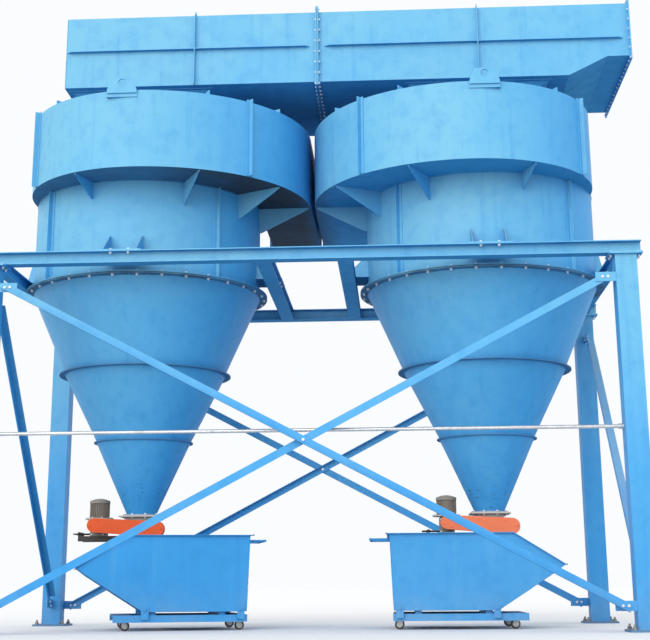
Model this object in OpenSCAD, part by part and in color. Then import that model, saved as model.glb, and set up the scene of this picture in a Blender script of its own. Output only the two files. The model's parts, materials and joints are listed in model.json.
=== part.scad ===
// Twin cyclone separator: two mirror-image cyclones on one steel frame, with a
// common outlet header on top and a wheeled dust bin under each rotary valve.
// Millimetres, +Z up. Origin at the middle of the footprint, on the floor.
// The front of the machine looks along -Y.

/* [Frame] */
// clear width from each barrel to the centres of the end columns
end_gap = 59; // [59:1:300]
// clear width from the barrels to the centres of the front and rear beams
front_gap = 277; // [250:1:500]
// outer width of the square column tube
column_w = 200; // [180:10:240]
// wall of the column tube
column_wall = 10; // [6:1:12]
// underside of the top beams above the floor
beam_z = 3384; // [3382:2:3460]
// height of every top beam
beam_h = 120; // [115:5:140]
// flange width of the front and rear beams
main_beam_w = 140; // [120:5:160]
// flange width of the end beams
end_beam_w = 100; // [80:5:105]
// flange width of the two middle beams
middle_beam_w = 140; // [100:5:160]
// thickness of the beam flanges
beam_flange = 9; // [6:1:14]
// thickness of the beam webs
beam_web = 7; // [5:1:12]
// overhang of the front and rear beams past the column centres
beam_overhang = 158; // [150:2:200]
// clear width from each barrel to the centre of the middle beam beside it
middle_gap = 187; // [155:1:220]
// side of the square base plates
base_plate = 360; // [340:10:400]
// thickness of base and cap plates
foot_plate = 20; // [16:1:30]
// spacing of the anchor holes
anchor_pitch = 280; // [270:5:290]
// radius of the anchor holes
anchor_r = 13; // [9:1:16]
// leg of the bracing angles
brace_leg = 70; // [60:5:80]
// thickness of the bracing angles
brace_t = 7; // [5:1:9]
// height of the horizontal tie pipe
tie_z = 1785; // [1760:5:1830]
// outer radius of the tie pipe
tie_r = 17; // [14:1:22]

/* [Cyclones] */
// outer radius of the barrel
barrel_r = 1183; // [1100:1:1300]
// plate thickness of barrels, cones, scrolls and ducts
shell = 6; // [4:1:8]
// top of the bolted joint between barrel and cone
joint_z = 3362; // [3350:1:3364]
// underside of the scroll floor
floor_z = 4306; // [4280:2:4360]
// height of the scroll walls
scroll_h = 775; // [700:5:860]
// how far the centre of the scroll's front arc lies from the axis, towards the inlet
scroll_offset = 115; // [105:1:130]
// how much tighter the outer arc of the scroll is
scroll_step = 360; // [330:5:380]
// clear width of the inlet
inlet_w = 545; // [500:1:600]
// half of the clear space between the two inlets
inlet_spacing = 22; // [20:1:60]
// length of the inlet duct behind the scroll
inlet_len = 1120; // [1000:20:1300]
// back edge of the scroll, behind the cyclone axis
scroll_back = 600; // [560:10:650]
// outer radius of the vortex finder
finder_r = 480; // [440:10:520]
// depth of the vortex finder below the roof
finder_drop = 960; // [850:10:1100]
// width of the bolted cone flanges
cone_flange_w = 80; // [60:2:86]
// thickness of each bolted cone flange
cone_flange_t = 12; // [10:1:18]
// upper stiffening ring above the floor
ring_1_z = 2530; // [2480:5:2580]
// cone radius at the upper ring
ring_1_r = 820; // [800:5:840]
// lower stiffening ring above the floor
ring_2_z = 1840; // [1800:5:1880]
// cone radius at the lower ring
ring_2_r = 475; // [450:5:500]
// underside of the cone outlet flange
outlet_z = 1100; // [1090:2:1120]
// outer radius of the cone outlet
outlet_r = 147; // [140:1:155]

/* [Header] */
// depth of the header duct, front to back
header_d = 1690; // [1600:10:1760]
// underside of the header duct
header_z = 5430; // [5420:5:5520]
// height of the header duct
header_h = 775; // [740:5:840]
// closed end of the header beyond the left hood
header_left_over = 52; // [45:1:120]
// open end of the header beyond the right hood
header_right_over = 832; // [800:1:1000]
// middle joint of the header from the plane of symmetry
header_joint = 100; // [60:10:140]
// how far the underside rises near the right end
header_rise = 197; // [150:1:240]
// side of the square top of the outlet hoods
hood_w = 1440; // [1400:10:1460]

/* [Discharge] */
// radius of the rotary valve housing
valve_r = 132; // [120:2:136]
// length of the rotary valve housing
valve_len = 300; // [280:10:340]
// distance from valve shaft to gearbox shaft
drive_gap = 430; // [420:5:450]
// radius of the motor body
motor_r = 100; // [90:2:104]
// height of the finned motor body
motor_h = 155; // [140:5:180]

/* [Dust bins] */
// length of the level part of the bin rim
bin_len = 1180; // [1150:10:1240]
// width of the bin between its side plates
bin_w = 1200; // [1100:20:1300]
// height of the level bin rim above the floor
bin_top = 890; // [880:2:900]
// underside of the bin above the floor
bin_floor = 177; // [170:1:185]
// plate thickness of the bin
bin_t = 5; // [4:1:8]
// caster wheel diameter
wheel_d = 92; // [84:1:100]
// how far the left bin stands turned on the floor, in degrees
left_bin_turn = 13.5; // [0:0.5:15]

/* [Hidden] */
$fn = 96;
blue = "deepskyblue";
eps = 0.3;
clear = 2;
wall_clear = 2;

scroll_z = floor_z + shell;
roof_z = scroll_z + scroll_h;
header_top = header_z + header_h;
beam_top = beam_z + beam_h;

// one cyclone's plan sets the spacing of everything else
inlet_in = barrel_r + wall_clear;
inlet_out = inlet_in + inlet_w;
cyclone_x = inlet_out + shell + inlet_spacing;
col_x = cyclone_x + barrel_r + end_gap;
col_y = barrel_r + front_gap;
middle_beam_x = cyclone_x - barrel_r - middle_gap;
header_left = cyclone_x + hood_w / 2 + header_left_over;
header_right = cyclone_x + hood_w / 2 + header_right_over;
inner_h = beam_h - 2 * beam_flange;

// scroll layout: two tangent arcs seen from above, left-hand cyclone
scroll_r = inlet_out - scroll_offset;
arc_1_x = scroll_offset;
arc_2_r = scroll_r - scroll_step;
arc_2_y = -scroll_step;
inlet_back = scroll_back + inlet_len;
inlet_flange_w = 50;
inlet_flange_gap = 16;

// joint pieces
gasket_t = 4;
cone_top_z = joint_z - gasket_t - cone_flange_t;
ring_t = 12;
ring_1_w = 65;
ring_2_w = 30;
outlet_flange_w = 45;
outlet_flange_t = 12;
header_flange_w = 50;
header_flange_t = 12;
hood_flange_w = 40;
hood_flange_t = 8;
neck_flange_t = 10;
neck_flange_w = 50;

// the footprint's middle becomes the origin
reach_left = col_x + base_plate / 2;
reach_right = header_right + header_flange_t;
reach_front = col_y + base_plate / 2;
reach_back = inlet_back;
shift = [(reach_left - reach_right) / 2, (reach_front - reach_back) / 2, 0];

// Placing

module site() {
    translate(shift) children();
}

module on_cyclone(side) {
    site() translate([side * cyclone_x, 0, 0]) mirror([side > 0 ? 1 : 0, 0, 0]) children();
}

module both_cyclones() {
    for (side = [-1, 1]) on_cyclone(side) children();
}

// Frame

module i_section(w, h, flange, web) {
    translate([-w / 2, 0]) square([w, flange]);
    translate([-w / 2, h - flange]) square([w, flange]);
    translate([-web / 2, 0]) square([web, h]);
}

module beam_along_x(len, w) {
    rotate([90, 0, 90])
        linear_extrude(len, center = true)
            i_section(w, beam_h, beam_flange, beam_web);
}

module beam_along_y(len, w) {
    rotate([90, 0, 0])
        linear_extrude(len, center = true)
            i_section(w, beam_h, beam_flange, beam_web);
}

cap_w = 310;
cap_d = 260;
cap_bolt_x = 128;
cap_bolt_y = 45;
cap_bolt_r = 9;

module column(sx, sy) {
    color(blue) site() translate([sx * col_x, sy * col_y, 0]) {
        difference() {
            translate([-base_plate / 2, -base_plate / 2, 0])
                cube([base_plate, base_plate, foot_plate]);
            for (x = [-1, 1], y = [-1, 1])
                translate([x * anchor_pitch / 2, y * anchor_pitch / 2, -1])
                    cylinder(r = anchor_r, h = foot_plate + 2, $fn = 32);
        }
        translate([0, 0, foot_plate])
            linear_extrude(beam_z - 2 * foot_plate)
                difference() {
                    square(column_w, center = true);
                    square(column_w - 2 * column_wall, center = true);
                }
        difference() {
            translate([-cap_w / 2, -cap_d / 2, beam_z - foot_plate])
                cube([cap_w, cap_d, foot_plate]);
            for (x = [-1, 1], y = [-1, 1])
                translate([x * cap_bolt_x, y * cap_bolt_y, beam_z - foot_plate - 1])
                    cylinder(r = cap_bolt_r, h = foot_plate + 2, $fn = 24);
        }
    }
}

module main_beam(sy) {
    len = 2 * (col_x + beam_overhang);
    color(blue) site() translate([0, sy * col_y, beam_z]) beam_along_x(len, main_beam_w);
}

// a cross beam stops at the flanges of the main beams, and its web reaches theirs
module cross_beam(x, w) {
    flange_len = 2 * col_y - main_beam_w - 2 * eps;
    web_len = 2 * col_y - beam_web - 2 * eps;
    tongue_h = inner_h - 2 * clear;
    translate([x, 0, beam_z]) {
        beam_along_y(flange_len, w);
        translate([-beam_web / 2, -web_len / 2, (beam_h - tongue_h) / 2])
            cube([beam_web, web_len, tongue_h]);
    }
}

module end_beams() {
    color(blue) site() for (s = [-1, 1]) cross_beam(s * col_x, end_beam_w);
}

module middle_beams() {
    color(blue) site() for (s = [-1, 1]) cross_beam(s * middle_beam_x, middle_beam_w);
}

// bracing: corner plates on the columns and angles between them
plate_w = 190;
plate_h = 86;
plate_t = 10;
brace_low_z = 220;
brace_high_z = 3150;
face_y = col_y + column_w / 2;

// an angle lying along X, flat leg in the plane y = 0, other leg towards +Y
module angle_bar(len) {
    rotate([90, 0, 90]) linear_extrude(len, center = true)
        translate([0, -brace_leg / 2])
            polygon([
                [0, 0], [brace_leg, 0], [brace_leg, brace_t],
                [brace_t, brace_t], [brace_t, brace_leg], [0, brace_leg]
            ]);
}

// the outer plates of one braced side, in the plane x-z, faces towards -Y
module corner_plates() {
    for (s = [-1, 1], z = [brace_low_z, brace_high_z])
        translate([s * (col_x - column_w / 2) - (s > 0 ? plate_w : 0), -plate_t, z - plate_h / 2])
            cube([plate_w, plate_t, plate_h]);
}

brace_x = col_x - column_w / 2 - 100;
brace_rise = brace_high_z - brace_low_z;
brace_len = norm([2 * brace_x, brace_rise]) + 100;
brace_slope = atan2(brace_rise, 2 * brace_x);

// one angle passes in front of its plates, the other behind; a packer fills
// the gap where they cross
module brace_pair() {
    mid = (brace_low_z + brace_high_z) / 2;
    corner_plates();
    translate([0, -plate_t - eps, mid]) rotate([0, brace_slope, 0])
        mirror([0, 1, 0]) angle_bar(brace_len);
    translate([0, eps, mid]) rotate([0, -brace_slope, 0])
        mirror([0, 0, 1]) angle_bar(brace_len);
    translate([0, 0, mid]) rotate([90, 0, 0]) cylinder(r = brace_leg * 0.4, h = plate_t, $fn = 48);
}

module front_bracing() {
    color(blue) site() translate([0, -col_y - column_w / 2 + plate_t, 0]) brace_pair();
}

module rear_bracing() {
    color(blue) site() mirror([0, 1, 0])
        translate([0, -col_y - column_w / 2 + plate_t, 0]) brace_pair();
}

// one diagonal on each end of the frame
side_y = col_y - column_w / 2 - 90;
side_low_z = 240;
side_high_z = 3090;
side_len = norm([2 * side_y, side_high_z - side_low_z]) + 90;
side_slope = atan2(side_high_z - side_low_z, 2 * side_y);

module side_brace(sx, turn) {
    mid = (side_low_z + side_high_z) / 2;
    x = sx * col_x;
    for (s = [-1, 1])
        translate([x - plate_t / 2, s * (col_y - column_w / 2) - (s > 0 ? plate_w : 0),
                   (s * turn > 0 ? side_high_z : side_low_z) - plate_h / 2])
            cube([plate_t, plate_w, plate_h]);
    translate([x + plate_t / 2, 0, mid])
        rotate([turn * side_slope, 0, 0])
            translate([0, -side_len / 2, -brace_leg / 2]) {
                cube([brace_t, side_len, brace_leg]);
                translate([0, 120, brace_leg - brace_t])
                    cube([brace_leg, side_len - 240, brace_t]);
            }
}

module side_bracing() {
    color(blue) site() {
        side_brace(-1, -1);
        side_brace(1, 1);
    }
}

// galvanised pipe between the two front columns, in welded sockets
module tie_pipe() {
    len = 2 * col_x - column_w - 2 * eps;
    y = -col_y + 20;
    color("silver") site() translate([-len / 2, y, tie_z]) rotate([0, 90, 0]) {
        difference() {
            cylinder(r = tie_r, h = len, $fn = 32);
            translate([0, 0, -1]) cylinder(r = tie_r - 3, h = len + 2, $fn = 32);
        }
        for (z = [0, len - 45])
            translate([0, 0, z])
                difference() {
                    cylinder(r = tie_r + 7, h = 45, $fn = 32);
                    translate([0, 0, -1]) cylinder(r = tie_r - 1, h = 47, $fn = 32);
                }
    }
}

// Header

rise_start = cyclone_x + hood_w / 2 + 202;
rise_end = rise_start + 400;

module header_outline(x0, x1, g) {
    polygon([
        [x0, header_z + g],
        [min(x1, rise_start), header_z + g],
        if (x1 > rise_start) [rise_end, header_z + header_rise + g],
        if (x1 > rise_start) [x1, header_z + header_rise + g],
        [x1, header_top - g],
        [x0, header_top - g]
    ]);
}

module header_bar(x0, x1, g) {
    d = header_d - 2 * g;
    translate([0, d / 2, 0]) rotate([90, 0, 0]) linear_extrude(d) header_outline(x0, x1, g);
}

module header_flange(x, rise) {
    w = header_flange_w;
    translate([x, -header_d / 2 - w, header_z + rise - w])
        cube([header_flange_t, header_d + 2 * w, header_h - rise + 2 * w]);
}

module hood_mouth(x) {
    w = hood_w - 2 * shell;
    translate([x - w / 2, -w / 2, header_z - 20]) cube([w, w, 60]);
}

module header_left_section() {
    color(blue) site() difference() {
        union() {
            header_bar(-header_left, header_joint, 0);
            header_flange(header_joint - header_flange_t, 0);
        }
        header_bar(-header_left + shell, header_joint + 1, shell);
        hood_mouth(-cyclone_x);
    }
}

module header_right_section() {
    x0 = header_joint + gasket_t;
    color(blue) site() difference() {
        union() {
            header_bar(x0, header_right, 0);
            header_flange(x0, 0);
            header_flange(header_right, header_rise);
        }
        header_bar(x0 - 1, header_right + header_flange_t + 1, shell);
        hood_mouth(cyclone_x);
    }
}

rib = 45;
rib_t = 8;
rib_clear = 60;
upright_rib_x = cyclone_x - 578;

// a flat rib with sloping ends, lying flat against the duct side
module long_rib(x0, x1) {
    linear_extrude(rib_t)
        polygon([[x0, 0], [x1, 0], [x1 - 60, -rib], [x0 + 60, -rib]]);
}

module header_ribs() {
    mid = header_z + header_h / 2;
    left = [-header_left, header_joint - header_flange_t - rib_clear];
    right = [header_joint + header_flange_t + rib_clear, header_right - rib_clear];
    color(blue) site() {
        for (sy = [0, 1]) mirror([0, sy, 0]) translate([0, -header_d / 2, mid]) {
            long_rib(left[0], left[1]);
            long_rib(right[0], right[1]);
        }
        for (x = [-upright_rib_x, cyclone_x]) {
            for (sy = [0, 1]) mirror([0, sy, 0])
                translate([x, -header_d / 2 - rib, header_z])
                    difference() {
                        cube([rib_t, rib, header_h]);
                        translate([-1, -1, header_h / 2 - eps]) cube([rib_t + 2, rib + 2, rib_t + 2 * eps]);
                    }
            translate([x, -header_d / 2, header_top]) cube([rib_t, header_d, rib]);
        }
    }
}

// Outlet hoods: square at the header, round at the cyclone roof

hood_low = roof_z + 2 * neck_flange_t;
hood_high = header_z - hood_flange_t;

module hood_body(g) {
    hull() {
        translate([-hood_w / 2 + g, -hood_w / 2 + g, hood_high - 1])
            cube([hood_w - 2 * g, hood_w - 2 * g, 1]);
        translate([0, 0, hood_low]) cylinder(r = finder_r - g, h = 1, $fn = 64);
    }
}

module outlet_hood(side) {
    w = hood_w + 2 * hood_flange_w;
    color(blue) on_cyclone(side) {
        difference() {
            union() {
                hood_body(0);
                translate([-w / 2, -w / 2, hood_high]) cube([w, w, hood_flange_t]);
                translate([0, 0, roof_z + neck_flange_t])
                    cylinder(r = finder_r + neck_flange_w, h = neck_flange_t);
            }
            hood_body(shell);
            translate([-hood_w / 2 + shell, -hood_w / 2 + shell, hood_high - 2])
                cube([hood_w - 2 * shell, hood_w - 2 * shell, hood_flange_t + 3]);
            translate([0, 0, roof_z]) cylinder(r = finder_r - shell, h = 3 * neck_flange_t);
        }
    }
}

module vortex_finders() {
    color(blue) both_cyclones() difference() {
        union() {
            translate([0, 0, roof_z - finder_drop]) cylinder(r = finder_r, h = finder_drop + neck_flange_t);
            translate([0, 0, roof_z]) cylinder(r = finder_r + neck_flange_w, h = neck_flange_t);
        }
        translate([0, 0, roof_z - finder_drop - 1])
            cylinder(r = finder_r - shell, h = finder_drop + neck_flange_t + 2);
    }
}

// Scroll

// plan of the scroll chamber, grown by g
module scroll_plan(g) {
    intersection() {
        translate([arc_1_x, 0]) circle(r = scroll_r + g, $fn = 180);
        translate([arc_1_x, -scroll_r - 100]) square(scroll_r + 100);
    }
    intersection() {
        translate([arc_1_x, arc_2_y]) circle(r = arc_2_r + g, $fn = 180);
        translate([arc_1_x - 2 * arc_2_r, -2 * arc_2_r]) square([2 * arc_2_r, 4 * arc_2_r]);
    }
    circle(r = barrel_r - shell + g, $fn = 180);
    translate([inlet_in - g, 0]) square([inlet_w + 2 * g, scroll_back]);
    translate([0, -inlet_in / 4]) square([inlet_in, inlet_in / 4]);
}

module scroll_wall(side) {
    color(blue) on_cyclone(side) translate([0, 0, scroll_z]) linear_extrude(scroll_h - shell)
        difference() {
            scroll_plan(shell);
            scroll_plan(0);
            translate([inlet_in, scroll_back - 1]) square([inlet_w, 2]);
        }
}

module scroll_floor(side) {
    color(blue) on_cyclone(side) translate([0, 0, floor_z]) linear_extrude(shell)
        difference() {
            scroll_plan(shell);
            circle(r = barrel_r - shell, $fn = 180);
        }
}

roof_rib_h = 50;
roof_rib_t = 10;

module scroll_roof(side) {
    color(blue) on_cyclone(side) {
        translate([0, 0, roof_z - shell]) linear_extrude(shell)
            difference() {
                scroll_plan(shell);
                circle(r = finder_r + eps);
            }
        for (a = [60 : 30 : 180])
            rotate(180 + a)
                translate([finder_r + neck_flange_w + 10, -roof_rib_t / 2, roof_z])
                    cube([scroll_reach(a) - finder_r - neck_flange_w - 20, roof_rib_t, roof_rib_h]);
    }
}

// inner reach of the scroll wall from the axis; a = 0 is the outer side, 90 the front
function scroll_reach(a) =
    let (u = [-cos(a), -sin(a)],
         c2 = [arc_1_x, arc_2_y],
         c1 = [arc_1_x, 0],
         d2 = u * c2,
         d1 = u * c1,
         r2 = d2 + sqrt(arc_2_r * arc_2_r - c2 * c2 + d2 * d2),
         r1 = d1 + sqrt(scroll_r * scroll_r - c1 * c1 + d1 * d1))
    (u[0] * r2 < arc_1_x) ? r2 : r1;

module inlet_duct(side) {
    x0 = inlet_in - shell;
    x1 = inlet_out + shell;
    z0 = floor_z;
    z1 = roof_z;
    w = inlet_flange_w;
    t = 10;
    color(blue) on_cyclone(side) difference() {
        union() {
            translate([x0, scroll_back, z0]) cube([x1 - x0, inlet_len, z1 - z0]);
            translate([x0 - w, inlet_back - t, z0 - w])
                cube([x1 - x0 + w + inlet_flange_gap, t, z1 - z0 + 2 * w]);
        }
        translate([x0 + shell, scroll_back - 1, z0 + shell])
            cube([inlet_w, inlet_len + 2, z1 - z0 - 2 * shell]);
    }
}

// Lugs, gussets and stiffeners

lug_w = 290;
lug_h = 125;
lug_t = 16;
lug_foot = 35;
lug_hole_r = 36;
lug_hole_down = 52;
pad_w = 300;
pad_h = 62;
pad_low = 72;
pad_out = 10;

// a flat lug on a doubler plate that follows the front of the scroll wall
module lifting_lugs() {
    y = arc_2_y - arc_2_r - shell;
    color(blue) both_cyclones() {
        translate([0, 0, roof_z - pad_low]) linear_extrude(pad_h) difference() {
            translate([-pad_w / 2, y - pad_out]) square([pad_w, 60]);
            translate([arc_1_x, arc_2_y]) circle(r = arc_2_r + shell + eps, $fn = 180);
        }
        translate([0, y - pad_out, roof_z - lug_foot]) rotate([90, 0, 0]) linear_extrude(lug_t)
            difference() {
                polygon([
                    [-lug_w / 2, 0], [lug_w / 2, 0], [lug_w / 2, lug_foot],
                    [lug_w / 3, lug_foot + lug_h], [-lug_w / 3, lug_foot + lug_h], [-lug_w / 2, lug_foot]
                ]);
                translate([0, lug_foot + lug_h - lug_hole_down]) circle(r = lug_hole_r, $fn = 40);
            }
    }
}

gusset_t = 8;
gusset_share = 0.5;

// a triangle under the scroll floor, its upright edge on the barrel
module gusset(a) {
    reach = scroll_reach(a) - barrel_r - 15;
    h = reach * gusset_share;
    rotate(180 + a) translate([barrel_r + eps, gusset_t / 2, floor_z - eps]) rotate([90, 0, 0])
        linear_extrude(gusset_t)
            polygon([[0, 0], [reach, 0], [reach, -18], [26, -h], [0, -h]]);
}

module scroll_gussets() {
    color(blue) both_cyclones() for (a = [72, 117, 150, 178]) gusset(a);
}

strip_w = 70;
strip_t = 8;
strip_rib = 50;

// upright strip with a rib, on a wall of radius r
module strip(r, z0, z1) {
    half = asin(strip_w / 2 / r);
    translate([0, 0, z0]) {
        rotate(-half) rotate_extrude(angle = 2 * half, $fn = 360)
            translate([r + eps, 0]) square([strip_t, z1 - z0]);
        translate([r + strip_t / 2, -strip_t / 2, 0]) cube([strip_rib, strip_t, z1 - z0]);
    }
}

// a strip on the scroll wall, seen at angle a from the cyclone axis; the wall
// there is an arc of radius r about [arc_1_x, cy]
module scroll_strip(a, cy, r) {
    spot = scroll_reach(a) * [-cos(a), -sin(a)];
    translate([arc_1_x, cy, 0]) rotate(atan2(spot[1] - cy, spot[0] - arc_1_x))
        strip(r + shell, scroll_z, roof_z + 20);
}

strip_angles = [45, 135];

module shell_stiffeners() {
    color(blue) both_cyclones() {
        scroll_strip(46, arc_2_y, arc_2_r);
        scroll_strip(135, 0, scroll_r);
        for (a = strip_angles)
            rotate(180 + a) strip(barrel_r, joint_z + cone_flange_t + eps, floor_z - eps);
        for (a = [-45, -135])
            rotate(180 + a) strip(barrel_r, joint_z + cone_flange_t + eps, floor_z - eps);
    }
}

// Barrels and cones

module barrel(side) {
    color(blue) on_cyclone(side) difference() {
        union() {
            translate([0, 0, joint_z]) cylinder(r = barrel_r, h = floor_z - joint_z, $fn = 180);
            translate([0, 0, joint_z]) cylinder(r = barrel_r + cone_flange_w, h = cone_flange_t, $fn = 180);
        }
        translate([0, 0, joint_z - 1]) cylinder(r = barrel_r - shell, h = floor_z - joint_z + 2, $fn = 180);
    }
}

module cone_gaskets() {
    color("dimgray") both_cyclones() translate([0, 0, joint_z - gasket_t]) difference() {
        cylinder(r = barrel_r + cone_flange_w - 2, h = gasket_t, $fn = 180);
        translate([0, 0, -1]) cylinder(r = barrel_r - shell, h = gasket_t + 2, $fn = 180);
    }
}

// Each cone is one turned profile: a collar at its top, the sloping plate, and
// on the lowest a flange at its foot. r0, r1 are outer radii at z0 and z1.
module cone_piece(z0, r0, z1, r1, collar_r, collar_t) {
    rotate_extrude($fn = 180)
        polygon([
            [r1 - shell, z1 + collar_t], [collar_r, z1 + collar_t], [collar_r, z1], [r1, z1],
            [r0, z0], [r0 - shell, z0], [r1 - shell, z1]
        ]);
}

module upper_cone(side) {
    color(blue) on_cyclone(side)
        cone_piece(ring_1_z, ring_1_r, cone_top_z, barrel_r, barrel_r + cone_flange_w, cone_flange_t);
}

module middle_cone(side) {
    color(blue) on_cyclone(side)
        cone_piece(ring_2_z, ring_2_r, ring_1_z - ring_t, ring_1_r, ring_1_r + ring_1_w, ring_t);
}

module lower_cone(side) {
    z1 = ring_2_z - ring_t;
    z0 = outlet_z + outlet_flange_t;
    color(blue) on_cyclone(side) rotate_extrude($fn = 180)
        polygon([
            [ring_2_r - shell, ring_2_z], [ring_2_r + ring_2_w, ring_2_z], [ring_2_r + ring_2_w, z1],
            [ring_2_r, z1], [outlet_r, z0], [outlet_r + outlet_flange_w, z0],
            [outlet_r + outlet_flange_w, outlet_z], [outlet_r - shell, outlet_z],
            [outlet_r - shell, z0], [ring_2_r - shell, z1]
        ]);
}

// four feet carry each barrel on the beams around it
foot_w = 420;
foot_t = 12;
foot_gusset_x = 160;
foot_gusset_h = 215;

module foot(reach) {
    d = reach - barrel_r;
    translate([0, 0, beam_top]) {
        difference() {
            translate([-foot_w / 2, -reach, 0]) cube([foot_w, reach, foot_t]);
            translate([0, 0, -1]) cylinder(r = barrel_r + eps, h = foot_t + 2, $fn = 180);
        }
        for (s = [-1, 1]) {
            x = s * foot_gusset_x;
            y0 = -sqrt(pow(barrel_r + 1, 2) - pow(foot_gusset_x, 2)) - 1;
            translate([x + gusset_t / 2, y0, foot_t]) rotate([90, 0, -90])
                linear_extrude(gusset_t)
                    polygon([
                        [0, 0], [reach + y0 - 40, 0], [reach + y0 - 40, 20],
                        [30, foot_gusset_h], [0, foot_gusset_h]
                    ]);
        }
    }
}

module support_brackets() {
    front = col_y + main_beam_w / 2;
    outer = col_x + end_beam_w / 2 - cyclone_x;
    inner = cyclone_x - middle_beam_x + middle_beam_w / 2;
    color(blue) both_cyclones() {
        foot(front);
        rotate(180) foot(front);
        rotate(-90) foot(outer);
        rotate(90) foot(inner);
    }
}

// Discharge: rotary valve, gear motor, chain guard

valve_z = 950;
valve_top = outlet_z - eps;
flange_side = 400;
valve_flange_t = 12;
valve_wall = 8;
valve_low = valve_z - valve_r - 20;

module valve(side) {
    site() translate([side * cyclone_x, 0, 0]) {
        translate([-flange_side / 2, -flange_side / 2, valve_top - valve_flange_t])
            cube([flange_side, flange_side, valve_flange_t]);
        translate([-valve_r, -valve_len / 2, valve_low])
            cube([2 * valve_r, valve_len, valve_top - valve_low - 4]);
        translate([0, valve_len / 2, valve_z]) rotate([90, 0, 0])
            cylinder(r = valve_r + valve_wall, h = valve_len);
        for (s = [0, 1]) mirror([0, s, 0]) translate([0, -valve_len / 2, valve_z]) rotate([90, 0, 0]) {
            cylinder(r = valve_r - 8, h = 14);
            cylinder(r = 46, h = 44);
        }
        translate([0, -valve_len / 2 - 40, valve_z]) rotate([90, 0, 0]) cylinder(r = 19, h = 40);
        translate([-valve_r - 24, -valve_len / 2 - 10, valve_low])
            cube([2 * valve_r + 48, valve_len + 20, valve_flange_t]);
    }
}

module rotary_valves() {
    color("steelblue") for (side = [-1, 1]) valve(side);
}

guard_t = 70;
guard_y = -valve_len / 2 - 50 - guard_t;
guard_left_r = 68;
guard_right_r = 78;
guard_right_x = 200;
guard_left_z = 1004;
guard_right_z = 962;
shaft_z = 985;

module guard_outline() {
    a = [-drive_gap, guard_left_z];
    b = [guard_right_x, guard_right_z];
    v = b - a;
    tilt = atan2(v[1], v[0]);
    open = asin((guard_right_r - guard_left_r) / norm(v));
    up = [cos(tilt + 90 + open), sin(tilt + 90 + open)];
    down = [cos(tilt - 90 - open), sin(tilt - 90 - open)];
    translate(a) circle(r = guard_left_r, $fn = 64);
    translate(b) circle(r = guard_right_r, $fn = 64);
    polygon([
        a + guard_left_r * up, b + guard_right_r * up,
        b + guard_right_r * down, a + guard_left_r * down
    ]);
}

module chain_guards() {
    color("orangered") site() for (side = [-1, 1]) translate([side * cyclone_x, guard_y + guard_t, 0])
        rotate([90, 0, 0]) linear_extrude(guard_t) guard_outline();
}

gear_w = 150;
gear_d = 170;
gear_z = 905;
motor_flange_r = 142;
motor_z = gear_z + 170;

module gear_motor() {
    // gearbox with its output boss towards the guard
    translate([-drive_gap - gear_w / 2, -gear_d / 2, gear_z]) cube([gear_w, gear_d, 150]);
    translate([-drive_gap, 0, shaft_z]) rotate([90, 0, 0]) cylinder(r = 52, h = gear_d / 2 + 25);
    translate([-drive_gap, 0, shaft_z]) rotate([90, 0, 0]) cylinder(r = 15, h = -guard_y - guard_t - eps);
    translate([-drive_gap, 0, gear_z + 150]) cylinder(r = 70, h = 20);
    // round motor flange, finned body and fan cowl
    translate([-drive_gap, 0, motor_z - 6]) cylinder(r = motor_flange_r, h = 14);
    translate([-drive_gap, 0, motor_z]) {
        linear_extrude(motor_h) {
            circle(r = motor_r - 14);
            for (a = [0 : 12 : 348]) rotate(a) translate([0, -1.5]) square([motor_r, 3]);
        }
        translate([0, 0, motor_h]) cylinder(r = motor_r + 3, h = 26);
        translate([0, 0, motor_h + 26])
            intersection() {
                cylinder(r = motor_r + 3, h = 24);
                translate([0, 0, -200]) sphere(r = 224);
            }
        translate([-45, motor_r - 30, 40]) cube([90, 60, 80]);
    }
}

module gear_motors() {
    color("gray") site() for (side = [-1, 1]) translate([side * cyclone_x, 0, 0]) gear_motor();
}

// bracket plate below the gearbox, with a take-up screw at its free end
bracket_t = 12;
bracket_w = 220;
bracket_lip = 40;
screw_room = 190;

module motor_bracket() {
    z = gear_z - bracket_t;
    x1 = -valve_r - eps;
    x0 = -drive_gap - screw_room;
    difference() {
        union() {
            translate([x0, -bracket_w / 2, z]) cube([x1 - x0, bracket_w, bracket_t]);
            for (s = [0, 1]) mirror([0, s, 0]) translate([x0, -bracket_w / 2, z - bracket_lip])
                cube([x1 - x0, bracket_t, bracket_lip + 1]);
        }
        translate([0, valve_len / 2 + 20, valve_z]) rotate([90, 0, 0])
            cylinder(r = valve_r + valve_wall + eps, h = valve_len + 40);
    }
    translate([x0, -bracket_w / 2, z + bracket_t]) cube([10, bracket_w, 40]);
    for (s = [-1, 1]) translate([x0 - 60, s * 60, z + bracket_t + 22]) rotate([0, 90, 0]) {
        cylinder(r = 7, h = 60 + screw_room - gear_w / 2 - eps, $fn = 24);
        translate([0, 0, 44]) cylinder(r = 13, h = 16, $fn = 6);
        translate([0, 0, 70]) cylinder(r = 13, h = 12, $fn = 6);
    }
}

module motor_brackets() {
    color("dimgray") site() for (side = [-1, 1]) translate([side * cyclone_x, 0, 0]) motor_bracket();
}

// Dust bins

bin_shift_left = -145;
bin_shift_right = -180;
bin_pivot = 600;
nose_x = -485;
nose_drop = 300;
nose_z = bin_top - nose_drop;
nose_in_x = nose_x + 65;
nose_in_z = nose_z - 45;
toe_x = 165;
heel_x = bin_len - 30;
lip_w = 30;
lip_t = 6;
handle_y = 260;
handle_r = 12;
handle_arm_r = 10;
handle_reach = 200;

module on_bin(side) {
    dx = side < 0 ? bin_shift_left : bin_shift_right;
    site() mirror([side > 0 ? 1 : 0, 0, 0]) translate([-cyclone_x + dx + bin_pivot, 0, 0])
        rotate(side < 0 ? left_bin_turn : 0) translate([-bin_pivot, 0, 0]) children();
}

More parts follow.
